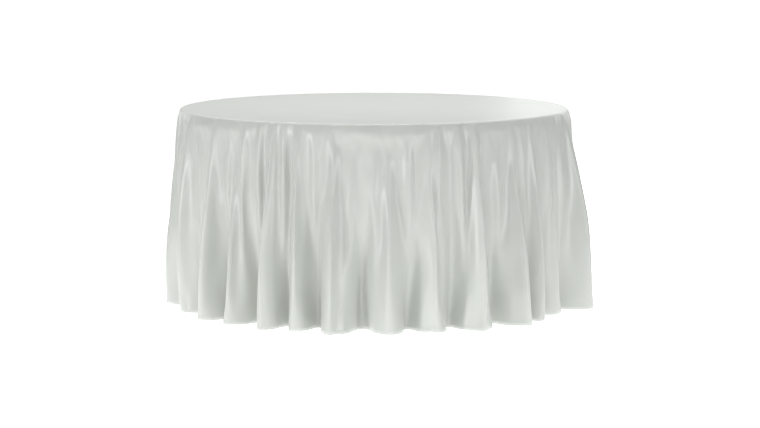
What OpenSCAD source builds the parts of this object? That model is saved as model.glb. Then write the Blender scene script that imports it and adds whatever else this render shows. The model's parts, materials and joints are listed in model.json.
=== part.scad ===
// Round folding banquet table dressed with a floor-length round satin cloth.
// Frame: origin on the floor under the middle of the table, +Z up, front at -Y.

/* [Table top] */
// Diameter of the round top
table_d = 1524; // [1516:1:1532]
// Height of the top surface above the floor
table_h = 760; // [756:1:764]
// Depth of the rim at the edge of the top
rim_h = 45; // [42:1:48]
// Width of the rim, seen from below
rim_w = 32; // [28:1:36]
// Thickness of the panel inside the rim
panel_t = 22; // [20:1:24]
// Radius of the rim's edges
edge_r = 8; // [6:1:10]
// Wall of the blow-moulded shell
shell_t = 3; // [2.5:0.5:4]

/* [Rails] */
// Distance of each rail from the middle line
rail_y = 310; // [308:1:314]
// Length of each rail
rail_l = 1210; // [1200:1:1220]
// Depth of the rail's box section
rail_h = 34; // [34:1:36]
// Width of the rail's box section
rail_w = 20; // [18:1:20]

/* [Legs] */
// Distance from the middle to each leg hinge
hinge_x = 560; // [556:1:564]
// Diameter of the leg tubes
leg_d = 28; // [26:1:28]
// Distance of the wide pair's legs from the middle line
wide_leg_y = 280; // [278:1:281]
// Distance of the narrow pair's legs from the middle line
narrow_leg_y = 240; // [238:1:242]
// Diameter of the hinge tube on which a leg pair turns
pivot_d = 25; // [24:0.5:25]
// Diameter of the cross bar between two legs
bar_d = 20; // [18:1:20]
// Distance of the cross bar below the hinge
bar_drop = 370; // [360:1:374]
// Outer diameter of the plastic foot
foot_d = 32; // [31:1:33]
// Height of the plastic foot
foot_h = 36; // [30:1:40]

/* [Cloth] */
// Thickness of the cloth
cloth_t = 1.5; // [1.2:0.1:2]
// Radius of the fold crests at the hem
crest_r = 846; // [835:1:855]
// Radius of the fold valleys at the hem, which clears the top as the cloth is lifted off
valley_r = 770; // [768:1:780]
// Height of the hem above the floor
hem_gap = 5; // [4:1:10]
// Height of the turned-up hem
hem_h = 12; // [10:1:16]

/* [Hidden] */
$fn = 48;
sides = [["right", 1, wide_leg_y], ["left", -1, narrow_leg_y]];

// Running clearance on a radius, and the hair's breadth left between welded pieces
running = 0.25;
touch = 0.03;

// Rail and hinge levels
under_z = table_h - panel_t;
hinge_z = under_z - rail_h / 2;
rail_wall = 1.5;
tube_wall = 1.5;
bar_wall = 2.5;
rail_end_r = 3;
hinge_tube_l = 2 * (rail_y + rail_w / 2) + 6;
cap_flange = 2;
foot_floor = 5;

// Brace geometry in the X-Z plane of the right-hand side
bar_out = leg_d / 2 + bar_d / 2 - 2;
bracket_x = 140;
bracket_pin_z = hinge_z + 1;
bracket_l = 330;
bracket_w = 56;
plate_t = 3;
lug_r = 11;
pin_d = 8;
head_d = pin_d + 5;
head_t = 2;
link_h = 16;
upper_link_t = 5;
link_gap = 3.5;
lower_link_t = 4;
lug_y = upper_link_t / 2 + plate_t / 2;
lower_y = upper_link_t / 2 + link_gap + lower_link_t / 2;
collar_t = 3;
// Angle below level at which the upper link is stored
folded_dip = 1;
bar_down = [hinge_x + bar_out, hinge_z - bar_drop];
bar_folded = [hinge_x - bar_drop, hinge_z - bar_out];
bracket_pin = [bracket_x, bracket_pin_z];
reach_down = norm(bar_down - bracket_pin);
reach_folded = norm(bar_folded - bracket_pin);
slope_down = atan2(bar_down[1] - bracket_pin[1], bar_down[0] - bracket_pin[0]);
slope_folded = atan2(bar_folded[1] - bracket_pin[1], bar_folded[0] - bracket_pin[0]);
// The knee lies on the straight brace, where both stored states leave it the same link lengths
upper_l = (reach_down * reach_down - reach_folded * reach_folded)
    / (2 * reach_down - 2 * reach_folded * cos(-folded_dip - slope_folded));
lower_l = reach_down - upper_l;
knee = bracket_pin + upper_l * [cos(slope_down), sin(slope_down)];
knee_folded = bracket_pin + upper_l * [cos(folded_dip), -sin(folded_dip)];
lower_turn = 180 + slope_down - atan2(knee_folded[1] - bar_folded[1], knee_folded[0] - bar_folded[0]);
// Turn of each link for a turn of one of its leg pair
echo(upper_ratio = (slope_down + folded_dip) / 90, lower_ratio = (lower_turn - 90) / 90);
echo(bar_down = bar_down, bracket_pin = bracket_pin, hinge_z = hinge_z);

// Cloth: the folds' crests, in degrees to the right of the front, and the levels of the rings
crests = [
    -95, -79, -63, -49, -38.5, -29, -20.5, -11, 4, 15.5, 27, 38.5, 46.5, 60, 75,
    91, 103, 116, 127, 140, 152, 163, 176, 188, 200, 213, 224, 237, 251
];
per_fold = 6;
around = len(crests) * per_fold;
cloth_gap = 0.5;
hem_clear = 0.2;
// Share of the edge radius cut off by the chamfer that stands for the rounded edge
edge_cut = 0.3;
top_z = table_h + cloth_gap + cloth_t;
side_r = table_d / 2 + cloth_gap + cloth_t;
drop_z = table_h - rim_h;
hem_share = 1 - hem_h / (drop_z - hem_gap);
drops = [0, 0.3, hem_share, 1];

// Direction of column i, whose fold has its crest at a multiple of per_fold
function crest(k) = k < len(crests) ? crests[k] : crests[0] + 360;
function direction(i) = let (k = floor(i / per_fold))
    crest(k) + (crest(k + 1) - crest(k)) * (i / per_fold - k);

// Point of the cloth's outer face in column i, at a share of the drop from the rim to the hem
function drape_r(i, share) = let (
        high = side_r + (crest_r - side_r) * share,
        low = side_r + (valley_r - side_r) * pow(share, 0.8)
    ) (high + low) / 2 + (high - low) / 2 * cos(360 * i / per_fold);
function drape_point(i, share) = drape_r(i, share) * [sin(direction(i)), -cos(direction(i))];

// Rings of points: a plain one, and one along the folds, moved in along its own normals by inset
function flat_ring(r, z) = [for (i = [0:around - 1]) [r * sin(direction(i)), -r * cos(direction(i)), z]];
function drape_ring(share, inset) = let (z = drop_z + (hem_gap - drop_z) * share) [
    for (i = [0:around - 1]) let (
        along = drape_point((i + 1) % around, share) - drape_point((i + around - 1) % around, share),
        p = drape_point(i, share) - inset * [along[1], -along[0]] / norm(along)
    ) [p[0], p[1], z]
];

// Rings of one face of the cloth, from the top's edge down to the hem
function cloth_rings(inset) = let (cut = inset + edge_cut * (edge_r - inset)) concat(
    [
        flat_ring(side_r - edge_r, top_z - inset),
        flat_ring(side_r - cut, top_z - cut),
        flat_ring(side_r - inset, top_z - edge_r)
    ],
    [for (share = drops) drape_ring(share, inset)]
);

// Triangles of the band between ring k and ring k + 1. Rings that climb are split along the same
// slant as rings that fall, so that two faces of a wall stay parallel.
function band(k, climbs) = [
    for (i = [0:around - 1]) let (
        j = (i + 1) % around, a = k * around + i, b = k * around + j, c = a + around, d = b + around
    ) each climbs ? [[a, b, d], [a, d, c]] : [[a, b, c], [b, d, c]]
];

// A closed tube whose skin runs down half of its rings, up the others, and back to the first
module ring_loop(rings) {
    n = len(rings);
    wrapped = [for (k = [0:n - 1]) each band(k, k >= n / 2)];
    faces = [for (f = wrapped) [for (v = f) v % (n * around)]];
    polyhedron([for (r = rings) each r], faces, convexity = 10);
}

// Cloth over the top and down to the floor: its outer face, then its inner face from the hem back up
module tablecloth() {
    inner = cloth_rings(cloth_t);
    down = len(inner);
    rings = concat(cloth_rings(0), [for (k = [down - 1:-1:0]) inner[k]]);
    middle = len(rings) * around;
    last = middle - around;
    points = concat([for (r = rings) each r], [[0, 0, top_z], [0, 0, top_z - cloth_t]]);
    skin = [for (k = [0:2 * down - 2]) each band(k, k >= down)];
    top_face = [for (i = [0:around - 1]) [(i + 1) % around, i, middle]];
    under_face = [for (i = [0:around - 1]) [last + i, last + (i + 1) % around, middle + 1]];
    color("#c6c9c5") polyhedron(points, concat(skin, top_face, under_face), convexity = 12);
}

// The edge turned up inside the cloth, a little clear of it
module hem() {
    front = cloth_t + hem_clear;
    back = front + cloth_t;
    color("#bfc2be") ring_loop([
        drape_ring(hem_share, front), drape_ring(1, front), drape_ring(1, back), drape_ring(hem_share, back)
    ]);
}

// Blow-moulded top: a hollow panel with a deep rounded rim, recessed underneath
module table_top() {
    r = table_d / 2;
    low = table_h - rim_h;
    color("#d9d9d4") rotate_extrude($fn = 180) difference() {
        union() {
            translate([0, low]) square([r - edge_r, rim_h]);
            translate([0, low + edge_r]) square([r, rim_h - 2 * edge_r]);
            for (z = [low + edge_r, table_h - edge_r]) translate([r - edge_r, z]) circle(edge_r);
        }
        translate([0, low - 1]) square([r - rim_w, rim_h - panel_t + 1]);
        translate([0, under_z + shell_t]) square([r - edge_r / 2, panel_t - 2 * shell_t]);
        translate([r - rim_w + shell_t, low + edge_r / 2])
            square([rim_w - shell_t - edge_r / 2, rim_h - edge_r / 2 - shell_t]);
    }
}

// Steel box-section rail, with a bore near each end for a hinge tube
module rail(y) {
    color("#7d8083") translate([0, y, hinge_z]) difference() {
        cube([rail_l, rail_w, rail_h], center = true);
        cube([rail_l + 2, rail_w - 2 * rail_wall, rail_h - 2 * rail_wall], center = true);
        for (x = [-hinge_x, hinge_x])
            translate([x, 0, 0]) rotate([90, 0, 0])
                cylinder(h = rail_w + 2, d = pivot_d + 2 * running, center = true);
    }
}

// Cross-slotted pan head that hangs below the surface it holds
module screw_head(d) {
    h = d / 4;
    rotate([180, 0, 0]) difference() {
        cylinder(h = h, d = d);
        for (turn = [0, 90]) rotate(turn) translate([0, 0, h]) cube([0.6 * d, 0.12 * d, h], center = true);
    }
}

// Screws that hold each rail up to the panel
module rail_screws() {
    color("#b9bbbd") for (y = [-rail_y, rail_y], x = [-450:225:450])
        translate([x, y, under_z - rail_h]) screw_head(10);
}

// Plate under the panel with a pair of lugs for each brace
module brace_bracket() {
    color("#7d8083") difference() {
        union() {
            translate([-bracket_l / 2, -bracket_w / 2, under_z - plate_t])
                cube([bracket_l, bracket_w, plate_t]);
            for (x = [-bracket_x, bracket_x], side = [-1, 1])
                translate([x, side * (lug_y + plate_t / 2), 0]) {
                    translate([-lug_r, -plate_t / 2, bracket_pin_z])
                        cube([2 * lug_r, plate_t, under_z - bracket_pin_z - plate_t / 2]);
                    translate([0, 0, bracket_pin_z]) rotate([90, 0, 0])
                        cylinder(h = plate_t, r = lug_r, center = true);
                }
        }
        for (x = [-bracket_x, bracket_x]) translate([x, 0, bracket_pin_z]) rotate([90, 0, 0])
            cylinder(h = bracket_w, d = pin_d + 2 * running, center = true);
    }
}

module bracket_screws() {
    color("#b9bbbd") for (x = [-90, 0, 90], y = [-19, 19])
        translate([x, y, under_z - plate_t]) screw_head(9);
}

// Headed pin through a pair of lugs
module brace_pin(side) {
    half = lug_y + plate_t + 0.5;
    color("#b9bbbd") translate([side * bracket_x, 0, bracket_pin_z]) rotate([90, 0, 0]) {
        cylinder(h = 2 * half, d = pin_d, center = true);
        for (end = [-1, 1])
            translate([0, 0, end * (half + head_t / 2)]) cylinder(h = head_t, d = head_d, center = true);
    }
}

// Steel tube along Y that turns in both rails
module hinge_tube(side) {
    color("#8a8d90") translate([side * hinge_x, 0, hinge_z]) rotate([90, 0, 0]) difference() {
        cylinder(h = hinge_tube_l, d = pivot_d, center = true);
        cylinder(h = hinge_tube_l + 2, d = pivot_d - 2 * tube_wall, center = true);
    }
}

// Plastic plug in each end of a hinge tube, which keeps the tube between the rails
module hinge_caps(side) {
    plug_l = 12;
    color("#303234") for (end = [-1, 1])
        translate([side * hinge_x, end * hinge_tube_l / 2, hinge_z]) rotate([-90 * end, 0, 0]) {
            cylinder(h = cap_flange, d = pivot_d + 5);
            translate([0, 0, -plug_l]) cylinder(h = plug_l, d = pivot_d - 2 * tube_wall - 0.1);
        }
}

// Straight steel leg, coped to sit on its hinge tube and open at the foot
module leg(side, y) {
    color("#8a8d90") translate([side * hinge_x, y, 0]) difference() {
        translate([0, 0, foot_floor]) cylinder(h = hinge_z - foot_floor, d = leg_d);
        translate([0, 0, foot_floor - 1]) cylinder(h = hinge_z, d = leg_d - 2 * tube_wall);
        translate([0, 0, hinge_z]) rotate([90, 0, 0])
            cylinder(h = 2 * leg_d, d = pivot_d + 2 * touch, center = true);
    }
}

// Bar across the outer faces of two legs, with collars that keep the brace in the middle
module cross_bar(side, leg_y) {
    overhang = 10;
    collar_y = upper_link_t / 2 + link_gap + lower_link_t + 0.5;
    color("#8a8d90") translate([side * bar_down[0], 0, bar_down[1]]) difference() {
        union() {
            rotate([90, 0, 0]) cylinder(h = 2 * (leg_y + overhang), d = bar_d, center = true);
            for (end = [-1, 1]) translate([0, end * (collar_y + collar_t / 2), 0]) rotate([90, 0, 0])
                cylinder(h = collar_t, d = bar_d + 6, center = true);
        }
        rotate([90, 0, 0]) cylinder(h = 2 * leg_y + 3 * overhang, d = bar_d - 2 * bar_wall, center = true);
        for (y = [-leg_y, leg_y]) translate([-side * bar_out, y, 0])
            cylinder(h = 2 * bar_d, d = leg_d + 2 * touch, center = true);
    }
}

// Plastic foot pushed over each leg's end
module feet(side, leg_y) {
    color("#303234") for (y = [-leg_y, leg_y]) translate([side * hinge_x, y, 0]) difference() {
        union() {
            cylinder(h = 2, d1 = foot_d - 3, d2 = foot_d, $fn = 64);
            translate([0, 0, 2]) cylinder(h = foot_h - 2, d = foot_d);
        }
        translate([0, 0, foot_floor]) cylinder(h = foot_h, d = leg_d + 2 * touch);
    }
}

// Flat link between two points of the X-Z plane, with a round end of radius end_r at the first
module flat_link(from, to, thick, end_r) {
    span = to - from;
    translate([from[0], 0, from[1]]) rotate([0, -atan2(span[1], span[0]), 0]) {
        translate([0, -thick / 2, -link_h / 2]) cube([norm(span), thick, link_h]);
        rotate([90, 0, 0]) cylinder(h = thick, r = end_r, center = true);
        translate([norm(span), 0, 0]) rotate([90, 0, 0]) cylinder(h = thick, r = link_h / 2, center = true);
    }
}

// Children as drawn for the right-hand side, or mirrored to the left
module on_side(side) {
    if (side > 0) children();
    else mirror([1, 0, 0]) children();
}

// Link from the bracket to the brace's knee, with a spacer boss at the knee
module upper_link(side) {
    boss_t = upper_link_t + 2 * link_gap - 1;
    color("#9a9da0") on_side(side) difference() {
        union() {
            flat_link(bracket_pin, knee, upper_link_t, link_h / 2);
            translate([knee[0], 0, knee[1]]) rotate([90, 0, 0])
                cylinder(h = boss_t, d = link_h - 3, center = true);
        }
        translate([bracket_pin[0], 0, bracket_pin[1]]) rotate([90, 0, 0])
            cylinder(h = 4 * upper_link_t, d = pin_d + 2 * running, center = true);
    }
}

// Pair of links from the cross bar to the knee, one on each side of the upper link
module lower_links(side) {
    color("#9a9da0") on_side(side) for (y = [-lower_y, lower_y]) translate([0, y, 0]) difference() {
        flat_link(bar_down, knee, lower_link_t, bar_d / 2 + 5);
        translate([bar_down[0], 0, bar_down[1]]) rotate([90, 0, 0])
            cylinder(h = 4 * lower_link_t, d = bar_d + 2 * running, center = true);
        translate([knee[0], 0, knee[1]]) rotate([90, 0, 0])
            cylinder(h = 4 * lower_link_t, d = pin_d + 2 * touch, center = true);
    }
}

// Rivet in each lower link at the knee
module link_rivets(side) {
    color("#b9bbbd") on_side(side) for (end = [-1, 1])
        translate([knee[0], end * lower_y, knee[1]]) rotate([-90 * end, 0, 0]) {
            translate([0, 0, -lower_link_t / 2]) cylinder(h = lower_link_t, d = pin_d);
            translate([0, 0, lower_link_t / 2]) cylinder(h = head_t, d = head_d);
        }
}

tablecloth();
hem();
table_top();
rail(-rail_y);  // rail_front
rail(rail_y);  // rail_rear
rail_screws();
brace_bracket();
bracket_screws();
for (s = sides) {
    brace_pin(s[1]);
    hinge_tube(s[1]);
    leg(s[1], -s[2]);
    leg(s[1], s[2]);
    cross_bar(s[1], s[2]);
    feet(s[1], s[2]);
    hinge_caps(s[1]);
    upper_link(s[1]);
    lower_links(s[1]);
    link_rivets(s[1]);
}
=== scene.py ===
"""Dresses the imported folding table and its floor-length round satin cloth.

The cloth starts as a fluted surface whose rings already have the length that the flat cut has
there. A cloth simulation settles it over the table's rim, and its result is laid on a finer grid,
given its thickness, its turned-up hem and its row of stitches. The table under it keeps its CAD
nodes, with procedural finishes, and gets weld beads where its tubes meet.
"""

import json
import logging
import math
from dataclasses import dataclass, field
from enum import Enum

import bpy
import numpy as np
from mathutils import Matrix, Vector


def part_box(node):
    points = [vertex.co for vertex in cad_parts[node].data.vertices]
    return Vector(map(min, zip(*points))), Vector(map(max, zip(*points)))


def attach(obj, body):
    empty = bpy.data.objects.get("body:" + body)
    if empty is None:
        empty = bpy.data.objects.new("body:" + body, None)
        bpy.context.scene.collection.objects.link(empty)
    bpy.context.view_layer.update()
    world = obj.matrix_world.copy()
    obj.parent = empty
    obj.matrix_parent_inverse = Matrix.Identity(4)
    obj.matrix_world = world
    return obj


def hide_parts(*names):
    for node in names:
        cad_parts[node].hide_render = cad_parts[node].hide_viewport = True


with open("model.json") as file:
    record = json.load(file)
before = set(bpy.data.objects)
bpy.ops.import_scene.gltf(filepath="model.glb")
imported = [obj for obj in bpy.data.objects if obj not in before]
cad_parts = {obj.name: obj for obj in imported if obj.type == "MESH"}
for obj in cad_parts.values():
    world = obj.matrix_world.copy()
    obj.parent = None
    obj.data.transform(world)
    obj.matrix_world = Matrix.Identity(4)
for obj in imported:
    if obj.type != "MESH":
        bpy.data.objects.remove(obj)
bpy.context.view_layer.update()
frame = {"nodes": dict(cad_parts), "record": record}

log = logging.getLogger("dressed_table")
MM = 0.001
Colour = tuple[float, float, float]
Socket = bpy.types.NodeSocket


# ---------------------------------------------------------------- surfaces


class Ends(Enum):
    """Whether a grid's last row of points joins its first."""

    OPEN = "open"
    JOINED = "joined"


def grid_faces(rows: int, columns: int, ends: Ends = Ends.OPEN) -> np.ndarray:
    """Numbers the quads of a grid whose columns run round and join up.

    Args:
        rows: Rings of points, one after another.
        columns: Points in each ring.
        ends: JOINED adds the band from the last ring back to the first.

    Returns:
        An array of four point numbers a quad, facing outward where rows go down an outside.
    """
    ring = np.arange(rows * columns).reshape(rows, columns)
    if ends is Ends.JOINED:
        ring = np.concatenate([ring, ring[:1]])
    after = np.roll(ring, -1, axis=1)
    return np.stack([ring[:-1], ring[1:], after[1:], after[:-1]], axis=-1).reshape(-1, 4)


def make_piece(name: str, points: np.ndarray, faces: list[np.ndarray]) -> bpy.types.Object:
    """Puts arrays of points and faces into a new smooth object at the origin.

    Args:
        name: The piece's name.
        points: One row of x, y, z in metres for each point.
        faces: Arrays of faces, each with its own count of corners a face.

    Returns:
        The linked object.
    """
    mesh = bpy.data.meshes.new(name)
    mesh.vertices.add(len(points))
    mesh.vertices.foreach_set("co", points.astype(np.float32).ravel())
    corners = np.concatenate([block.ravel() for block in faces])
    sizes = np.concatenate([np.full(len(block), block.shape[1]) for block in faces])
    mesh.loops.add(len(corners))
    mesh.loops.foreach_set("vertex_index", corners.astype(np.int32))
    mesh.polygons.add(len(sizes))
    mesh.polygons.foreach_set("loop_start", (np.cumsum(sizes) - sizes).astype(np.int32))
    mesh.polygons.foreach_set("use_smooth", np.ones(len(sizes), bool))
    mesh.update(calc_edges=True)
    mesh.validate()
    piece = bpy.data.objects.new(name, mesh)
    bpy.context.scene.collection.objects.link(piece)
    return piece


def set_uv(piece: bpy.types.Object, name: str, uv: np.ndarray) -> None:
    """Gives a piece a UV map from one u, v for each of its points.

    Args:
        piece: The piece.
        name: The map's name.
        uv: One row of u, v for each point.
    """
    mesh = piece.data
    corner = np.zeros(len(mesh.loops), np.int32)
    mesh.loops.foreach_get("vertex_index", corner)
    layer = mesh.uv_layers.new(name=name)
    layer.data.foreach_set("uv", uv[corner].astype(np.float32).ravel())


def grid_normals(points: np.ndarray) -> np.ndarray:
    """Unit normals of a grid whose columns run round: down-row step crossed with round-ring step.

    Args:
        points: Grid of points, rows by columns by 3.

    Returns:
        A grid of unit vectors that point outward where rows go down an outside.
    """
    down = np.gradient(points, axis=0)
    round_ring = (np.roll(points, -1, axis=1) - np.roll(points, 1, axis=1)) / 2
    normal = np.cross(down, round_ring)
    return normal / np.maximum(np.linalg.norm(normal, axis=-1, keepdims=True), 1e-12)


# ---------------------------------------------------------------- finishes


class Nodes:
    """Adds and joins shader nodes in one new material."""

    def __init__(self, name: str) -> None:
        """Starts an empty material with its output node.

        Args:
            name: The material's name.
        """
        self.material = bpy.data.materials.new(name)
        self.material.use_nodes = True
        self.tree = self.material.node_tree
        self.tree.nodes.clear()
        self.output = self.tree.nodes.new("ShaderNodeOutputMaterial")

    def add(self, kind: str, settings: dict | None = None, **inputs: object) -> bpy.types.Node:
        """Adds a node, sets its settings and fills its inputs.

        Args:
            kind: The node's type, without the leading "ShaderNode".
            settings: Values for the node's own properties.
            inputs: A value or another node's socket for each input. An input's keyword is its
                name with _ for each space, or i and its number.

        Returns:
            The new node.
        """
        node = self.tree.nodes.new("ShaderNode" + kind)
        for key, value in (settings or {}).items():
            setattr(node, key, value)
        for key, value in inputs.items():
            numbered = key[0] == "i" and key[1:].isdigit()
            socket = node.inputs[int(key[1:]) if numbered else key.replace("_", " ")]
            if isinstance(value, Socket):
                self.tree.links.new(value, socket)
            else:
                socket.default_value = value
        return node

    def noise(self, place: Socket, size: float, detail: float = 2.0) -> Socket:
        """Adds noise with lumps of about a size.

        Args:
            place: The coordinates, in metres.
            size: Size of a lump in metres.
            detail: Octaves of finer noise.

        Returns:
            The noise's value, from 0 to 1.
        """
        return self.add("TexNoise", Vector=place, Scale=1 / size, Detail=detail).outputs["Fac"]

    def spread(self, value: Socket, low: float, high: float) -> Socket:
        """Maps the usual span of noise, 0.3 to 0.7, onto low to high."""
        node = self.add("MapRange", Value=value, From_Min=0.3, From_Max=0.7, To_Min=low, To_Max=high)
        return node.outputs["Result"]

    def mix(self, share: Socket, first: Colour, second: Colour) -> Socket:
        """Mixes two colours.

        Args:
            share: How much of the second there is, from 0 to 1.
            first: The first colour.
            second: The second colour.

        Returns:
            The mixed colour.
        """
        node = self.add("Mix", {"data_type": "RGBA"}, Factor=share)
        node.inputs[6].default_value = (*first, 1)
        node.inputs[7].default_value = (*second, 1)
        return node.outputs[2]

    def scaled(self, place: Socket, scale: tuple[float, float, float]) -> Socket:
        """Stretches coordinates by a factor along each axis."""
        return self.add("Mapping", Vector=place, Scale=scale).outputs["Vector"]

    def object_place(self) -> Socket:
        """Coordinates in the object's own metres."""
        return self.add("TexCoord").outputs["Object"]

    def bump(self, height: Socket, depth: float, strength: float = 1.0,
             under: Socket | None = None) -> Socket:
        """Turns a height from 0 to 1 into a bumped normal.

        Args:
            height: The height pattern.
            depth: Depth in metres of a height of 1.
            strength: Share of the effect.
            under: A coarser bumped normal below this one.

        Returns:
            The normal.
        """
        node = self.add("Bump", Height=height, Distance=depth, Strength=strength)
        if under is not None:
            self.tree.links.new(under, node.inputs["Normal"])
        return node.outputs["Normal"]

    def finish(self, **inputs: object) -> bpy.types.Material:
        """Adds the surface shader.

        Args:
            inputs: A value or a socket for each of the shader's inputs.

        Returns:
            The finished material.
        """
        shader = self.add("BsdfPrincipled", None, **inputs)
        self.tree.links.new(shader.outputs["BSDF"], self.output.inputs["Surface"])
        return self.material


@dataclass(frozen=True)
class Satin:
    """Polyester satin: long warp floats that shine along their length."""

    colour: Colour = (0.560, 0.580, 0.550)
    shade: Colour = (0.535, 0.556, 0.526)
    cut: float = 3.048
    thread: float = 0.45 * MM
    # Length of a slub, size of a cloud of shade, and how far warp and weft stand out
    slub: float = 45 * MM
    cloud: float = 160 * MM
    warp_depth: float = 0.05 * MM
    weft_depth: float = 0.04 * MM
    # How much the warp counts in the shade, beside the clouds
    warp_share: float = 0.35
    roughness: tuple[float, float] = (0.28, 0.35)

    def build(self, name: str = "satin") -> bpy.types.Material:
        """Builds the satin on the flat cut's own coordinates, so its threads follow the folds.

        Args:
            name: The material's name.

        Returns:
            The material.
        """
        nodes = Nodes(name)
        cut = nodes.add("UVMap", {"uv_map": "cut"}).outputs["UV"]
        place = nodes.scaled(cut, (self.cut, self.cut, 1))
        stretch = self.thread / self.slub
        warp = nodes.noise(nodes.scaled(place, (1, stretch, 1)), self.thread)
        weft = nodes.noise(nodes.scaled(place, (stretch, 1, 1)), 2 * self.thread)
        cloud = nodes.noise(place, self.cloud, 3)
        tone = nodes.add("Math", {"operation": "MULTIPLY_ADD"}, i0=warp, i1=self.warp_share, i2=cloud)
        shade = nodes.add("MapRange", Value=tone.outputs[0], From_Min=0.45, From_Max=0.9)
        threads = nodes.bump(warp, self.warp_depth, 0.5)
        return nodes.finish(
            Base_Color=nodes.mix(shade.outputs["Result"], self.colour, self.shade),
            Roughness=nodes.spread(weft, *self.roughness),
            Normal=nodes.bump(weft, self.weft_depth, 0.35, threads),
            Sheen_Weight=0.25,
            Sheen_Roughness=0.4,
            Specular_IOR_Level=0.5,
        )


@dataclass(frozen=True)
class HemThread:
    """Twisted sewing thread in the cloth's own shade."""

    colour: Colour = (0.50, 0.52, 0.49)
    darker: float = 0.8
    ply: float = 0.35 * MM
    depth: float = 0.08 * MM

    def build(self) -> bpy.types.Material:
        """Builds the thread, with the ply's twist as a fine bump.

        Returns:
            The material.
        """
        nodes = Nodes("hem_thread")
        ply = nodes.noise(nodes.object_place(), self.ply)
        dark = tuple(self.darker * level for level in self.colour)
        return nodes.finish(
            Base_Color=nodes.mix(nodes.spread(ply, 0, 1), self.colour, dark),
            Roughness=0.6, Normal=nodes.bump(ply, self.depth, 0.6), Sheen_Weight=0.2,
        )


@dataclass(frozen=True)
class MouldedPlastic:
    """Blow-moulded polyethylene: a fine pebbled skin, a little uneven in gloss."""

    name: str
    colour: Colour
    scuff: Colour
    pebble: float = 1.1 * MM
    pebble_depth: float = 0.09 * MM
    # Size and depth of the dents that cooling leaves, size of a cloud, and a scratch's width
    dent: float = 35 * MM
    dent_depth: float = 0.3 * MM
    cloud: float = 90 * MM
    scratch: float = 1.5 * MM
    roughness: tuple[float, float] = (0.42, 0.60)

    def build(self) -> bpy.types.Material:
        """Builds the pebbled skin, with pale scuffs where clouds and scratches are both high.

        Returns:
            The material.
        """
        nodes = Nodes(self.name)
        place = nodes.object_place()
        pebbles = nodes.add("TexVoronoi", {"feature": "SMOOTH_F1"}, Vector=place, Scale=1 / self.pebble)
        cloud = nodes.noise(place, self.cloud, 4)
        scratch = nodes.noise(nodes.scaled(place, (1, 0.06, 1)), self.scratch, 1)
        worn = nodes.add("Math", {"operation": "MULTIPLY"}, i0=cloud, i1=scratch).outputs[0]
        share = nodes.add("MapRange", Value=worn, From_Min=0.28, From_Max=0.46).outputs["Result"]
        skin = nodes.bump(pebbles.outputs["Distance"], self.pebble_depth, 0.5)
        return nodes.finish(
            Base_Color=nodes.mix(share, self.colour, self.scuff),
            Roughness=nodes.spread(cloud, *self.roughness),
            Normal=nodes.bump(nodes.noise(place, self.dent), self.dent_depth, 0.4, skin),
        )


@dataclass(frozen=True)
class PowderCoat:
    """Powder-coated steel: orange peel, with rubbed patches and dust low on the legs."""

    name: str
    colour: Colour
    rubbed: Colour
    peel: float = 1.8 * MM
    peel_depth: float = 0.06 * MM
    patch: float = 14 * MM
    roughness: tuple[float, float] = (0.34, 0.48)
    # How high the dust reaches, and how much it adds to the rubbed share at the floor
    dust_height: float = 0.10
    dust: float = 0.16

    def build(self) -> bpy.types.Material:
        """Builds the coat, with a dusty share that grows towards the floor.

        Returns:
            The material.
        """
        nodes = Nodes(self.name)
        place = nodes.object_place()
        peel = nodes.noise(place, self.peel, 1)
        patches = nodes.noise(place, self.patch, 5)
        height = nodes.add("SeparateXYZ", Vector=place).outputs["Z"]
        low = nodes.add("MapRange", Value=height, From_Min=0, From_Max=self.dust_height,
                        To_Min=self.dust, To_Max=0).outputs["Result"]
        raised = nodes.add("Math", {"operation": "ADD"}, i0=patches, i1=low).outputs[0]
        share = nodes.add("MapRange", Value=raised, From_Min=0.60, From_Max=0.74).outputs["Result"]
        return nodes.finish(
            Base_Color=nodes.mix(share, self.colour, self.rubbed),
            Roughness=nodes.spread(patches, *self.roughness),
            Normal=nodes.bump(peel, self.peel_depth, 0.45),
            Specular_IOR_Level=0.5, Coat_Weight=0.15, Coat_Roughness=0.3,
        )


@dataclass(frozen=True)
class PlatedSteel:
    """Zinc-plated or brushed steel: fine brush lines and cloudy roughness."""

    name: str
    colour: Colour
    tarnish: Colour
    brush: float = 0.25 * MM
    brush_depth: float = 0.015 * MM
    cloud: float = 9 * MM
    roughness: tuple[float, float] = (0.26, 0.44)

    def build(self) -> bpy.types.Material:
        """Builds the metal, with brush lines that run along Z.

        Returns:
            The material.
        """
        nodes = Nodes(self.name)
        place = nodes.object_place()
        lines = nodes.noise(nodes.scaled(place, (1, 1, 0.03)), self.brush, 1)
        cloud = nodes.noise(place, self.cloud, 4)
        return nodes.finish(
            Base_Color=nodes.mix(nodes.spread(cloud, 0, 1), self.colour, self.tarnish),
            Metallic=1.0,
            Roughness=nodes.spread(cloud, *self.roughness),
            Normal=nodes.bump(lines, self.brush_depth, 0.5),
        )


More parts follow.
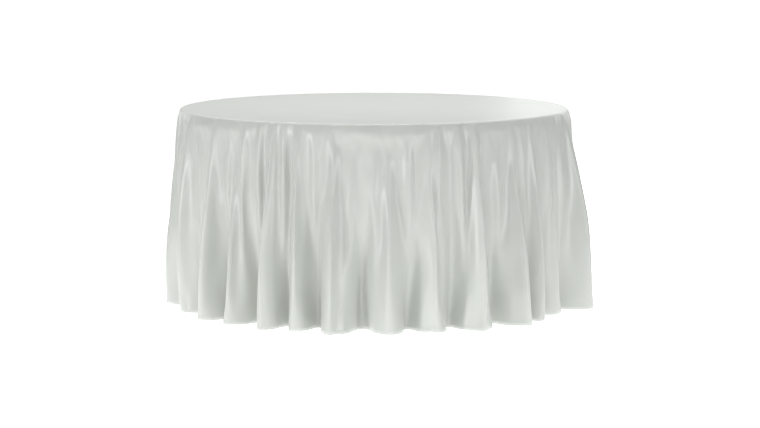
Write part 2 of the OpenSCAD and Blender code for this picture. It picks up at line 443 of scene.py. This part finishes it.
@dataclass(frozen=True)
class StudioFloor:
    """Pale painted floor that glows a little, so that it lights the cloth from below."""

    colour: Colour = (0.90, 0.90, 0.90)
    cloud: float = 0.6
    # Light that the floor itself casts close round the table and far from it, and what shows
    near: float = 1.12
    far: float = 0.30
    near_r: float = 1.3
    far_r: float = 2.6
    shown: float = 0.9

    def build(self) -> bpy.types.Material:
        """Builds the floor with faint clouds of roughness.

        Returns:
            The material.
        """
        nodes = Nodes("studio_floor")
        place = nodes.object_place()
        cloud = nodes.noise(place, self.cloud)
        distance = nodes.add("VectorMath", {"operation": "LENGTH"}, i0=place).outputs["Value"]
        cast = nodes.add("MapRange", Value=distance, From_Min=self.near_r, From_Max=self.far_r,
                         To_Min=self.near, To_Max=self.far).outputs["Result"]
        seen = nodes.add("LightPath").outputs["Is Camera Ray"]
        glow = nodes.add("MapRange", Value=seen, To_Min=cast, To_Max=self.shown).outputs["Result"]
        return nodes.finish(
            Base_Color=(*self.colour, 1), Roughness=nodes.spread(cloud, 0.62, 0.72),
            Emission_Color=(1, 1, 1, 1), Emission_Strength=glow,
        )


# ---------------------------------------------------------------- cloth


@dataclass(frozen=True)
class FoldPlan:
    """Where the folds hang. Angles are in degrees to the right of the front, seen from above."""

    crests: tuple[float, ...] = (
        -96, -80, -65, -51, -41, -29, -21, -11, 4, 15.5, 28, 41.5, 49.5, 60, 71,
        87, 102, 115, 127, 140, 152, 163, 176, 188, 200, 213, 224, 237, 251,
    )
    # How far each fold stands out, as a share of the usual
    reaches: tuple[float, ...] = (
        0.9, 1.0, 0.95, 1.1, 1.0, 1.1, 0.9, 1.2, 1.0, 0.85, 1.05, 1.05, 0.8, 0.5, 1.15,
        0.9, 1.1, 0.95, 1.0, 1.1, 0.85, 1.1, 0.95, 1.1, 0.9, 1.05, 1.0, 0.9, 1.1,
    )
    # How far the cloth's middle line stands out at the hem, past the rim, on the left and the right
    flare_left: float = 0.012
    flare_right: float = 0.064
    # How much narrower than its crest a fold's valley is at the hem, how much narrower than its
    # valley its crest is under the rim, and how far down the one shape gives way to the other
    pinch: float = 0.6
    ridge: float = 4.5
    ridge_depth: float = 0.55
    # Scale of the rounded shape that a fold has towards the hem
    rounded_high: float = 1.6
    # The short folds under the rim: their height, how narrow they are, and how far down they reach
    fine: float = 0.85
    fine_ridge: float = 2.0
    fine_depth: float = 0.34
    # How they wander sideways and swell: a share and a number of waves round the table for each
    drifts: tuple[tuple[float, int], ...] = ((0.35, 5), (0.2, 12))
    swell: tuple[float, int] = (0.6, 7)

    def phase(self, angle: np.ndarray) -> np.ndarray:
        """Counts folds round the table: whole numbers on crests, halves in valleys.

        Args:
            angle: Directions in radians, from the first crest on.

        Returns:
            The count, straight between crests.
        """
        marks = np.radians([*self.crests, self.crests[0] + 360])
        return np.interp(angle, marks, np.arange(len(marks)))

    def wave(self, angle: np.ndarray, fall: np.ndarray) -> np.ndarray:
        """Shape of the folds round a ring, before it is given its height.

        Low down a fold is one less e to the power of `pinch` times minus one minus the cosine of
        the fold count, so its valley is narrower than its crest. Under the rim it is e to the
        power of `ridge` times the cosine less one, a narrow crest between flat valleys. Both are
        multiplied by the fold's own reach. Short folds of twice the count are added there, which
        wander and swell by sines. Narrow crests and short folds both fade by e to the minus
        square of the distance below the rim. The mean is taken off at the end.

        Args:
            angle: Directions, one row.
            fall: Distances below the rim, one column.

        Returns:
            Rings by columns, about one high.
        """
        count = self.phase(angle)
        folds = len(self.crests)
        reach = np.interp(count, np.arange(folds + 1), [*self.reaches, self.reaches[0]])
        rounded = self.rounded_high * (1 - np.exp(self.pinch * (-np.cos(math.tau * count) - 1)))
        narrow = np.exp(self.ridge * (np.cos(math.tau * count) - 1))
        high = np.exp(-((fall / self.ridge_depth) ** 2))
        drift = sum(share * np.sin(math.tau * waves * count / folds) for share, waves in self.drifts)
        share, waves = self.swell
        ripple = np.exp(self.fine_ridge * (np.cos(math.tau * (2 * count + drift)) - 1))
        ripple = ripple * (1 + share * np.sin(math.tau * waves * count / folds))
        short = self.fine * np.exp(-((fall / self.fine_depth) ** 2)) * ripple
        shape = (rounded * (1 - high) + narrow * high) * reach + short
        return shape - shape.mean(axis=1, keepdims=True)

    def flare(self, angle: np.ndarray) -> np.ndarray:
        """Blends the two flares: the left's share falls and the right's grows with the sine."""
        share = (1 + np.sin(angle)) / 2
        return self.flare_left + (self.flare_right - self.flare_left) * share


@dataclass
class Tablecloth:
    """A 3.05 m round cloth over a 1.52 m round top, with a narrow turned-up hem."""

    top_r: float
    top_z: float
    rim_h: float
    hem_z: float
    plan: FoldPlan = field(default_factory=FoldPlan)
    cloth_r: float = 1.524
    edge_r: float = 8 * MM
    gap: float = 2 * MM
    thick: float = 0.8 * MM
    columns: int = 560
    fine_columns: int = 640
    top_rings: tuple[float, ...] = (0.08, 0.2, 0.34, 0.48, 0.6, 0.68, 0.72, 0.742)
    rim_rings: int = 5
    drop_rings: int = 32
    frames: int = 9
    # The trial heights of a ring's wave: the greatest, and how many there are
    trial_high: float = 0.16
    trial_count: int = 65
    # Length of cloth just under the rim over which it comes free, and a valley's least radius
    free_l: float = 0.05
    least_r: float = 0.66
    # The most of a step down the cloth that can go outward
    out_share: float = 0.4
    # Easing: the waves kept in the first and last ring, the rows over which it grows from its
    # least share to all of it, and how often it is done
    waves_kept: tuple[float, float] = (240.0, 120.0)
    ease_least: float = 0.06
    ease_rows: float = 30.0
    ease_rounds: int = 30
    # The simulation's table: columns round it, points round its edge and the width of its lip
    table_columns: int = 240
    edge_points: int = 7
    lip_w: float = 0.03

    def __post_init__(self) -> None:
        """Lays out the rings' distances on the flat cut and the columns' directions."""
        self.flat_r = self.top_r - self.edge_r
        self.bend_r = self.edge_r + self.gap
        self.bend_l = self.bend_r * math.pi / 2
        rim = self.flat_r + self.bend_l * np.linspace(0, 1, self.rim_rings)
        drop = np.linspace(rim[-1], self.cloth_r, self.drop_rings + 1)[1:]
        self.rings = np.concatenate([self.top_rings, rim, drop])
        self.held_rings = len(self.top_rings) + self.rim_rings
        turn = math.tau * np.arange(self.columns) / self.columns
        self.angle = math.radians(self.plan.crests[0]) + turn

    def laid(self, radius: np.ndarray, height: np.ndarray, angle: np.ndarray) -> np.ndarray:
        """Places points round Z: radius times the sine and minus the cosine of the direction.

        Args:
            radius: Distances from the middle.
            height: Heights above the floor.
            angle: Directions in radians to the right of the front.

        Returns:
            Grid of points, with x, y, z last.
        """
        shape = np.broadcast_shapes(radius.shape, angle.shape)
        parts = (radius * np.sin(angle), -radius * np.cos(angle), height)
        return np.stack([np.broadcast_to(part, shape) for part in parts], axis=-1)

    def flat_cut(self) -> np.ndarray:
        """The cloth as cut: every ring a plain circle in one plane."""
        return self.laid(self.rings[:, None], np.zeros((1, 1)), self.angle[None, :])

    def ring_heights(self, middle: np.ndarray, shape: np.ndarray) -> np.ndarray:
        """Finds how high each ring's wave is when the ring is as long as on the flat cut.

        A ring's length is worked out for a row of trial heights, and the height is read off at
        the length that the cut has there.

        Args:
            middle: Radius of the ring's middle line, rings by columns.
            shape: The wave's shape, rings by columns.

        Returns:
            One height for each ring.
        """
        trials = np.linspace(0, self.trial_high, self.trial_count)
        radius = middle[..., None] + trials * shape[..., None]
        step = np.roll(radius, -1, axis=1) - radius
        turn = math.tau / self.columns
        length = np.sqrt(step**2 + (radius * turn) ** 2).sum(axis=1)
        wanted = math.tau * self.rings
        return np.array([np.interp(want, row, trials) for want, row in zip(wanted, length)])[:, None]

    def start_shape(self) -> np.ndarray:
        """The fluted cloth before it settles.

        Each ring past the rim is a circle plus the plan's wave, and the wave is as high as makes
        the ring as long as it is on the flat cut. Folds open from the rim down.

        Returns:
            Grid of points, rings by columns by 3.
        """
        out = self.rings[:, None]
        bend = np.clip((out - self.flat_r) / self.bend_l, 0, 1) * math.pi / 2
        fall = np.maximum(out - self.flat_r - self.bend_l, 0)
        reach = self.cloth_r - self.flat_r - self.bend_l
        flare = self.plan.flare(self.angle)[None, :] * fall / reach
        middle = self.top_r + self.gap + flare
        shape = self.plan.wave(self.angle[None, :], fall)
        wave = self.ring_heights(middle, shape) * shape
        on_rim = self.flat_r + self.bend_r * np.sin(bend)
        radius = np.where(out < self.flat_r, out, np.where(fall > 0, middle + wave, on_rim))
        # Beside the rim the cloth can't go in past it, and below the rim it comes free by degrees
        below = np.clip((fall - self.rim_h) / self.free_l, 0, 1)
        least = (self.top_r + self.gap) * (1 - below) + self.least_r * below
        radius = np.where(fall > 0, np.maximum(radius, least), radius)
        out_step = np.diff(radius, axis=0, prepend=radius[:1])
        along = np.diff(self.rings, prepend=self.rings[0])[:, None]
        outward = np.minimum(np.abs(out_step), self.out_share * along)
        down = np.sqrt(np.maximum(along**2 - outward**2, 0))
        first = self.held_rings
        height = self.top_z + self.gap - self.bend_r * (1 - np.cos(bend)) + 0 * radius
        height[first:] = height[first - 1] - np.cumsum(down[first:], axis=0)
        return self.laid(radius, height, self.angle[None, :])

    def collider(self) -> bpy.types.Object:
        """Makes a plain round of the table's top, for the simulation only.

        A profile is turned about Z: the top, a quarter circle at its edge, its side and its
        underside.

        Returns:
            The collider.
        """
        turn = np.linspace(0, math.pi / 2, self.edge_points)
        low = self.top_z - self.rim_h
        edge = np.stack([
            self.flat_r + self.edge_r * np.sin(turn), self.top_z - self.edge_r * (1 - np.cos(turn)),
        ], axis=1)
        under = [(self.top_r, low), (self.top_r - self.lip_w, low), (MM, low)]
        profile = np.concatenate([[(MM, self.top_z)], edge, under])
        around = np.linspace(0, math.tau, self.table_columns, endpoint=False)
        points = self.laid(profile[:, :1], profile[:, 1:], around[None, :])
        body = make_piece("settling_top", points.reshape(-1, 3), [grid_faces(len(profile), len(around))])
        body.modifiers.new("collide", "COLLISION")
        body.collision.thickness_outer = self.gap
        body.collision.cloth_friction = 5
        return body

    def settle(self, start: np.ndarray) -> np.ndarray:
        """Lets the fluted cloth settle over the top, with the flat cut as its rest shape.

        Args:
            start: The fluted grid.

        Returns:
            The settled grid.
        """
        top = self.collider()
        centre = np.array([[0, 0, self.top_z + self.gap]])
        ring = np.arange(self.columns)
        fan = np.stack([np.zeros_like(ring), ring + 1, (ring + 1) % self.columns + 1], axis=-1)
        quads = grid_faces(len(self.rings), self.columns) + 1
        points = np.concatenate([centre, start.reshape(-1, 3)])
        cloth = make_piece("settling_cloth", points, [fan, quads])
        cloth.shape_key_add(name="Basis")
        cut = cloth.shape_key_add(name="cut")
        flat = np.concatenate([np.zeros((1, 3)), self.flat_cut().reshape(-1, 3)])
        cut.data.foreach_set("co", flat.astype(np.float32).ravel())
        cut.value = 0
        held = cloth.vertex_groups.new(name="held")
        held.add(list(range(1 + self.held_rings * self.columns)), 1.0, "ADD")
        modifier = cloth.modifiers.new("settle", "CLOTH")
        satin = modifier.settings
        satin.rest_shape_key = cut
        satin.vertex_group_mass = "held"
        satin.quality = 6
        satin.mass = 0.00015
        satin.tension_stiffness = satin.compression_stiffness = 40
        satin.shear_stiffness = 12
        satin.bending_model = "ANGULAR"
        satin.bending_stiffness = 0.08
        satin.tension_damping = satin.compression_damping = satin.shear_damping = 8
        satin.bending_damping = 1
        satin.air_damping = 2
        modifier.collision_settings.distance_min = self.gap
        modifier.collision_settings.use_self_collision = False
        modifier.point_cache.frame_end = self.frames
        scene = bpy.context.scene
        for step in range(1, self.frames + 1):
            scene.frame_set(step)
        settled = cloth.evaluated_get(bpy.context.evaluated_depsgraph_get()).to_mesh()
        points = np.zeros(len(settled.vertices) * 3, np.float32)
        settled.vertices.foreach_get("co", points)
        scene.frame_set(1)
        for used in (cloth, top):
            bpy.data.objects.remove(used)
        return points.reshape(-1, 3)[1:].reshape(start.shape).astype(float)

    def finer(self, grid: np.ndarray) -> np.ndarray:
        """Lays a grid on more columns and twice the drop's rings.

        Round each ring the points are waves, so their Fourier terms give the points between.
        Down the drop a new ring lies midway by the four-point rule: 9/16 of the two beside it,
        less 1/16 of the next two out.

        Args:
            grid: Rings by columns by any number of values.

        Returns:
            The finer grid.
        """
        waves = np.fft.rfft(grid, axis=1)
        grid = np.fft.irfft(waves, self.fine_columns, axis=1) * (self.fine_columns / self.columns)
        first = self.held_rings - 1
        drop = grid[first:]
        wide = np.concatenate([2 * drop[:1] - drop[1:2], drop, 2 * drop[-1:] - drop[-2:-1]])
        between = (9 * (wide[1:-2] + wide[2:-1]) - wide[:-3] - wide[3:]) / 16
        woven = np.empty((2 * len(drop) - 1, *drop.shape[1:]))
        woven[0::2], woven[1::2] = drop, between
        return np.concatenate([grid[:first], woven])

    def eased(self, grid: np.ndarray) -> np.ndarray:
        """Takes small lumps out of the settled cloth and lets it hang straight to the hem.

        Round each ring the Fourier terms are cut back by e to the minus fourth power of their
        number over the waves kept, which fall evenly from the first ring to the last. Down the
        drop each ring moves towards the mean of its neighbours, by a share that grows from
        little at the rim to a half. Then each column is stretched so that it ends at the hem's
        height.

        Args:
            grid: The settled cloth on the fine grid.

        Returns:
            The eased grid.
        """
        first = self.held_rings
        waves = np.fft.rfft(grid, axis=1)
        kept = np.linspace(*self.waves_kept, len(grid))[:, None]
        waves *= np.exp(-((np.arange(waves.shape[1])[None, :] / kept) ** 4))[:, :, None]
        grid = np.fft.irfft(waves, self.fine_columns, axis=1)
        share = np.clip(np.arange(len(grid) - first - 1) / self.ease_rows, self.ease_least, 1)
        share = share[:, None, None] / 2
        for _ in range(self.ease_rounds):
            drop = grid[first:-1]
            grid[first:-1] = drop * (1 - share) + (grid[first - 1:-2] + grid[first + 1:]) * share / 2
            grid[-1] = 2 * grid[-2] - grid[-3]
        top = grid[first - 1, :, 2]
        stretch = (top - self.hem_z) / (top - grid[-1, :, 2])
        grid[first:, :, 2] = top - (top - grid[first:, :, 2]) * stretch
        return grid

    def build(self) -> bpy.types.Object:
        """Makes the cloth as one closed shell: outer face, then inner face from the hem back up.

        Returns:
            The cloth.
        """
        coarse = self.start_shape()
        coarse = self.settle(coarse)
        outer = self.eased(self.finer(coarse))
        self.outer = outer
        self.normal = grid_normals(outer)
        inner = outer - self.thick * self.normal
        shell = np.concatenate([outer, inner[::-1]])
        rows, columns = shell.shape[:2]
        ends = np.array([[0, 0, outer[0, 0, 2]], [0, 0, inner[0, 0, 2]]])
        ring = np.arange(columns)
        after = (ring + 1) % columns
        count = rows * columns
        last = count - columns
        fans = [
            np.stack([np.full(columns, count), ring, after], axis=-1),
            np.stack([np.full(columns, count + 1), last + after, last + ring], axis=-1),
        ]
        points = np.concatenate([shell.reshape(-1, 3), ends])
        cloth = make_piece("satin_cloth", points, [grid_faces(rows, columns), *fans])
        cut = self.finer(self.flat_cut())
        flat = np.concatenate([cut, cut[::-1]]).reshape(-1, 3)[:, :2]
        set_uv(cloth, "cut", np.concatenate([flat, np.zeros((2, 2))]) / (2 * self.cloth_r) + 0.5)
        return cloth

    def face_at(self, up: np.ndarray) -> tuple[np.ndarray, np.ndarray]:
        """Points and normals of the outer face at distances above its lower edge.

        Args:
            up: Distances along the cloth, at most two rows of the fine grid.

        Returns:
            Two grids, distances by columns by 3, straight between the face's own rows.
        """
        step = (self.cloth_r - self.flat_r - self.bend_l) / (2 * self.drop_rings)
        row = len(self.outer) - 1 - np.clip(up, 0, None) / step
        below = np.minimum(row.astype(int), len(self.outer) - 2)
        share = (row - below)[:, None, None]
        points = self.outer[below] * (1 - share) + self.outer[below + 1] * share
        normals = self.normal[below] * (1 - share) + self.normal[below + 1] * share
        return points, normals / np.linalg.norm(normals, axis=-1, keepdims=True)


@dataclass
class Hem:
    """The narrow turned-up hem and the lockstitch that holds it."""

    cloth: Tablecloth
    stitch_up: float = 9.5 * MM
    stitch_l: float = 2.9 * MM
    pitch: float = 4.2 * MM
    thread_r: float = 0.32 * MM
    # A stitch's hexagons, first to last: radius and lift, as shares of the thread's radius
    swell: tuple[float, ...] = (0.5, 1.0, 0.5)
    lift: tuple[float, ...] = (-0.3, 0.6, -0.3)
    sides: int = 6
    # Outline of the turn in millimetres: up from the cloth's edge, and in from its outer face
    outline: tuple[tuple[float, float], ...] = (
        (0.4, 0.85), (6.0, 0.85), (12.0, 0.85), (12.3, 1.2), (11.9, 1.75), (6.0, 1.85),
        (0.5, 1.8), (-0.4, 1.5), (-0.7, 0.9), (-0.5, 0.3), (0.0, 0.02),
    )

    def build_turn(self) -> bpy.types.Object:
        """Carries the outline round the cloth's lower edge: a closed strip that wraps the edge.

        Returns:
            The hem.
        """
        outline = np.array(self.outline) * MM
        points, normals = self.cloth.face_at(outline[:, 0])
        points = points - outline[:, 1, None, None] * normals
        points[..., 2] += np.minimum(outline[:, 0], 0)[:, None]
        rows, columns = points.shape[:2]
        points = points.reshape(-1, 3)
        faces = grid_faces(rows, columns, Ends.JOINED)[:, ::-1]
        turn = make_piece("satin_hem", points, [faces])
        set_uv(turn, "cut", points[:, :2] / (2 * self.cloth.cloth_r) + 0.5)
        return turn

    def build_stitches(self) -> bpy.types.Object:
        """Lays short hexagonal stitches at even distances along a line just above the edge.

        Three hexagons make a stitch: a full one in the middle and a small, sunken one at each end.

        Returns:
            The row of stitches as one piece.
        """
        line, normal = (grid[0] for grid in self.cloth.face_at(np.array([self.stitch_up])))
        line, normal = (np.concatenate([part, part[:1]]) for part in (line, normal))
        along = np.concatenate([[0], np.cumsum(np.linalg.norm(np.diff(line, axis=0), axis=1))])
        count = int(along[-1] / self.pitch)
        middle = (np.arange(count) + 0.5) * along[-1] / count
        spot = middle[:, None] + self.stitch_l / 2 * np.array([-1, 0, 1])[None, :]

        def at(values: np.ndarray, where: np.ndarray) -> np.ndarray:
            """Reads values at distances along the line."""
            return np.stack([np.interp(where, along, values[:, k]) for k in range(3)], axis=-1)

        place, out = at(line, spot), at(normal, spot)
        forward = at(line, middle + MM) - at(line, middle - MM)
        forward = (forward / np.linalg.norm(forward, axis=-1, keepdims=True))[:, None]
        across = np.cross(out, np.broadcast_to(forward, out.shape))
        turn = np.arange(self.sides) * math.tau / self.sides
        size = np.array(self.swell) * self.thread_r
        lift = np.array(self.lift) * self.thread_r
        ring = size[None, :, None, None] * (
            np.cos(turn)[None, None, :, None] * across[:, :, None, :]
            + np.sin(turn)[None, None, :, None] * out[:, :, None, :]
        )
        points = place[:, :, None, :] + lift[None, :, None, None] * out[:, :, None, :] + ring
        one = grid_faces(len(size), self.sides)
        starts = np.arange(count)[:, None, None] * len(size) * self.sides
        quads = (one[None] + starts).reshape(-1, 4)
        first = np.arange(self.sides)
        caps = np.array([first[::-1], (len(size) - 1) * self.sides + first])
        caps = (caps[None] + starts).reshape(-1, self.sides)
        return make_piece("hem_stitches", points.reshape(-1, 3), [quads, caps])


# ---------------------------------------------------------------- table


@dataclass(frozen=True)
class Side:
    """One end of the table: its name, its sense along X and how far its legs stand from Y = 0."""

    name: str
    sign: float
    leg_y: float


@dataclass
class WeldBeads:
    """Beads of weld where the leg tubes of one side meet the hinge tube and the cross bar."""

    side: Side
    hinge: Vector
    bar: Vector
    leg_r: float = 14 * MM
    tube_r: float = 12.5 * MM
    bar_r: float = 10 * MM
    bead_r: float = 1.9 * MM
    # The bead's pools: how many there are in a bead, and how much each swells
    pools: int = 9
    swell: float = 0.13
    # How thin an open bead's ends are, and how suddenly it tapers
    tip: float = 0.15
    taper: int = 6
    # How far round the hinge tube a bead runs each way, and how far the bar's middle is from the leg's
    sweep: float = math.radians(84)
    reach: float = 22 * MM
    stations: int = 48
    around: int = 10

    def swept(self, path: np.ndarray, closed: bool) -> tuple[np.ndarray, np.ndarray]:
        """Carries a rippled circle along a path.

        The circle's radius swells and shrinks as overlapping pools of weld do, and tapers at the
        ends of an open path.

        Args:
            path: Points, one row each.
            closed: Whether the path joins up.

        Returns:
            Points and quads of the bead.
        """
        step = np.roll(path, -1, axis=0) - np.roll(path, 1, axis=0)
        if not closed:
            step[0], step[-1] = path[1] - path[0], path[-1] - path[-2]
        step /= np.linalg.norm(step, axis=1, keepdims=True)
        middle = path.mean(axis=0)
        first = np.cross(step, path - middle)
        first /= np.linalg.norm(first, axis=1, keepdims=True)
        second = np.cross(step, first)
        share = np.linspace(0, 1, len(path), endpoint=not closed)
        radius = self.bead_r * (1 + self.swell * np.cos(math.tau * self.pools * share))
        if not closed:
            full = np.sqrt(np.clip(1 - (2 * share - 1) ** self.taper, 0, 1))
            radius = radius * (self.tip + (1 - self.tip) * full)
        turn = (np.arange(self.around) * math.tau / self.around)[None, :, None]
        circle = np.cos(turn) * first[:, None] + np.sin(turn) * second[:, None]
        points = path[:, None] + radius[:, None, None] * circle
        ends = Ends.JOINED if closed else Ends.OPEN
        faces = grid_faces(len(path), self.around, ends)
        return points.reshape(-1, 3), faces[:, ::-1]

    def build(self) -> bpy.types.Object:
        """Makes all the side's beads as one piece.

        A bead on the hinge tube follows the curve in which the leg's tube cuts it, and a bead on
        the cross bar follows the small loop in which the bar meets the leg.

        Returns:
            The beads.
        """
        blocks, faces, count = [], [], 0
        sweep = np.linspace(-1, 1, self.stations) * self.sweep
        widest = math.acos((self.reach - self.leg_r) / self.bar_r)
        loop = np.linspace(0, math.tau, self.stations, endpoint=False)
        tilt = widest * np.sin(loop)
        inward = self.reach - self.bar_r * np.cos(tilt)
        half = np.sqrt(np.clip(self.leg_r**2 - inward**2, 0, None))
        for leg_y in (-self.side.leg_y, self.side.leg_y):
            x = self.tube_r * np.sin(sweep)
            for edge in (-1, 1):
                y = leg_y + edge * np.sqrt(self.leg_r**2 - x**2)
                path = np.stack([self.hinge.x + x, y, self.hinge.z - self.tube_r * np.cos(sweep)], axis=1)
                points, quads = self.swept(path, closed=False)
                blocks.append(points)
                faces.append(quads + count)
                ring = np.arange(self.around)
                faces.append(np.array([ring, len(points) - 1 - ring]) + count)
                count += len(points)
            path = np.stack([
                self.bar.x - self.side.sign * self.bar_r * np.cos(tilt),
                leg_y + np.sign(np.cos(loop)) * half,
                self.bar.z + self.bar_r * np.sin(tilt),
            ], axis=1)
            points, quads = self.swept(path, closed=True)
            blocks.append(points)
            faces.append(quads + count)
            count += len(points)
        return make_piece(f"weld_beads_{self.side.name}", np.concatenate(blocks), faces)


@dataclass
class FoldingTable:
    """The table under the cloth: its CAD nodes' finishes and the weld beads."""

    sides: tuple[Side, ...] = (Side("right", 1, 0.280), Side("left", -1, 0.240))

    def dress(self) -> None:
        """Gives every CAD node the finish of its material slot."""
        kinds = (
            MouldedPlastic("moulded_top", (0.66, 0.66, 0.62), (0.78, 0.78, 0.75)),
            MouldedPlastic("foot_plastic", (0.030, 0.031, 0.034), (0.10, 0.10, 0.10)),
            PowderCoat("frame_steel", (0.17, 0.18, 0.19), (0.27, 0.27, 0.27)),
            PowderCoat("leg_steel", (0.22, 0.23, 0.24), (0.33, 0.33, 0.32)),
            PlatedSteel("brace_steel", (0.52, 0.53, 0.54), (0.40, 0.40, 0.40)),
            PlatedSteel("zinc", (0.66, 0.66, 0.63), (0.50, 0.50, 0.46)),
        )
        finishes = {kind.name: kind.build() for kind in kinds}
        finishes["satin"] = Satin().build("plain_satin")
        for part in frame["record"]["subparts"]:
            mesh = frame["nodes"][part["node"]].data
            mesh.materials.clear()
            mesh.materials.append(finishes[part["material_slot"]])
        self.leg_finish = finishes["leg_steel"]

    def build_welds(self) -> list[bpy.types.Object]:
        """Makes the weld beads of both sides, which ride with the leg pairs.

        Returns:
            One piece for each side.
        """
        made = []
        for side in self.sides:
            hinge = sum(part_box(f"hinge_tube_{side.name}"), Vector()) / 2
            bar = sum(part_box(f"cross_bar_{side.name}"), Vector()) / 2
            beads = WeldBeads(side, hinge, bar).build()
            beads.data.materials.append(self.leg_finish)
            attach(beads, f"leg_pair_{side.name}")
            made.append(beads)
        return made


# ---------------------------------------------------------------- studio


@dataclass(frozen=True)
class Softbox:
    """A rectangular studio light."""

    name: str
    place: tuple[float, float, float]
    size: tuple[float, float]
    power: float
    aim: tuple[float, float, float] = (0, 0, 0.5)
    # Whether glossy surfaces mirror it
    mirrored: bool = True

    def build(self) -> None:
        """Makes the light and points it at its aim."""
        light = bpy.data.lights.new(self.name, "AREA")
        light.shape = "RECTANGLE"
        light.size, light.size_y = self.size
        light.energy = self.power
        lamp = bpy.data.objects.new(self.name, light)
        bpy.context.scene.collection.objects.link(lamp)
        lamp.location = self.place
        lamp.visible_glossy = self.mirrored
        ahead = Vector(self.aim) - Vector(self.place)
        lamp.rotation_euler = ahead.to_track_quat("-Z", "Y").to_euler()


@dataclass
class Studio:
    """White surroundings, a pale floor, soft boxes on all sides and above, and the camera."""

    # Distance and height of the camera in metres, how far it looks down and to the right in
    # degrees, and its lens in millimetres
    camera_far: float = 8.956
    camera_high: float = 1.495
    camera_down: float = 7.373
    camera_turn: float = 0.156
    lens: float = 107.67
    # The white surroundings: what they cast, and what shows
    surround: float = 0.19
    backdrop: float = 1.0
    floor_half: float = 60.0
    boxes: tuple[Softbox, ...] = (
        Softbox("left_box", (-4.5, -3.8, 1.0), (0.8, 1.6), 70),
        Softbox("right_box", (3.9, -4.6, 1.0), (0.8, 1.6), 58),
        Softbox("front_box", (-1.8, -7.6, 0.9), (1.2, 1.6), 38, (0, 0, 0.3)),
        Softbox("back_right_box", (3.6, 6.5, 2.2), (6.0, 2.6), 50, (0.2, 0, 0.76)),
        Softbox("back_left_box", (-4.2, 5.5, 1.3), (1.2, 1.2), 10, (-0.5, 0, 0.76)),
        Softbox("top_box", (0.0, 0.3, 3.6), (2.4, 2.4), 149, (0, 0, 0.76), False),
    )

    def build_camera(self) -> None:
        """Places the camera in front, a little above the table, and looks slightly down."""
        data = bpy.data.cameras.new("front_camera")
        data.sensor_width = 36
        data.lens = self.lens
        camera = bpy.data.objects.new("front_camera", data)
        bpy.context.scene.collection.objects.link(camera)
        camera.location = (0, -self.camera_far, self.camera_high)
        camera.rotation_euler = (math.radians(90 - self.camera_down), 0, math.radians(-self.camera_turn))
        bpy.context.scene.camera = camera

    def build_floor(self) -> None:
        """Lays a wide flat floor."""
        half = self.floor_half
        corners = half * np.array([(-1, -1, 0), (1, -1, 0), (1, 1, 0), (-1, 1, 0)], float)
        floor = make_piece("floor", corners, [np.array([[0, 1, 2, 3]])])
        floor.data.materials.append(StudioFloor().build())

    def build_surround(self) -> None:
        """Sets a white world that lights softly and shows as plain white behind the object."""
        world = bpy.data.worlds.new("studio")
        bpy.context.scene.world = world
        world.use_nodes = True
        tree = world.node_tree
        backdrop = tree.nodes["Background"]
        backdrop.inputs["Color"].default_value = (1, 1, 1, 1)
        seen = tree.nodes.new("ShaderNodeLightPath")
        level = tree.nodes.new("ShaderNodeMapRange")
        level.inputs["To Min"].default_value = self.surround
        level.inputs["To Max"].default_value = self.backdrop
        tree.links.new(seen.outputs["Is Camera Ray"], level.inputs["Value"])
        tree.links.new(level.outputs["Result"], backdrop.inputs["Strength"])

    def build(self) -> None:
        """Builds the surroundings, floor, lights and camera."""
        self.build_surround()
        self.build_floor()
        for box in self.boxes:
            box.build()
        self.build_camera()
        bpy.context.scene.view_settings.view_transform = "Standard"


def main() -> None:
    """Builds the studio, the cloth and the table in order and reports each piece."""
    logging.basicConfig(level=logging.INFO, format="%(name)s: %(message)s")
    Studio().build()
    low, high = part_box("table_top")
    cloth = Tablecloth(top_r=high.x, top_z=high.z, rim_h=high.z - low.z, hem_z=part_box("tablecloth")[0].z)
    satin, hem = Satin().build(), Hem(cloth)
    spread = cloth.build()
    turn, stitches = hem.build_turn(), hem.build_stitches()
    dressed = (
        (spread, satin, "satin"), (turn, satin, "satin"), (stitches, HemThread().build(), "satin"),
    )
    for piece, finish, slot in dressed:
        piece.data.materials.append(finish)
        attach(piece, "cloth")
    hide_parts("tablecloth")
    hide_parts("hem")
    table = FoldingTable()
    table.dress()
    for piece in (spread, turn, stitches, *table.build_welds()):
        log.info("%s: %d faces", piece.name, len(piece.data.polygons))


if __name__ == "__main__":
    main()
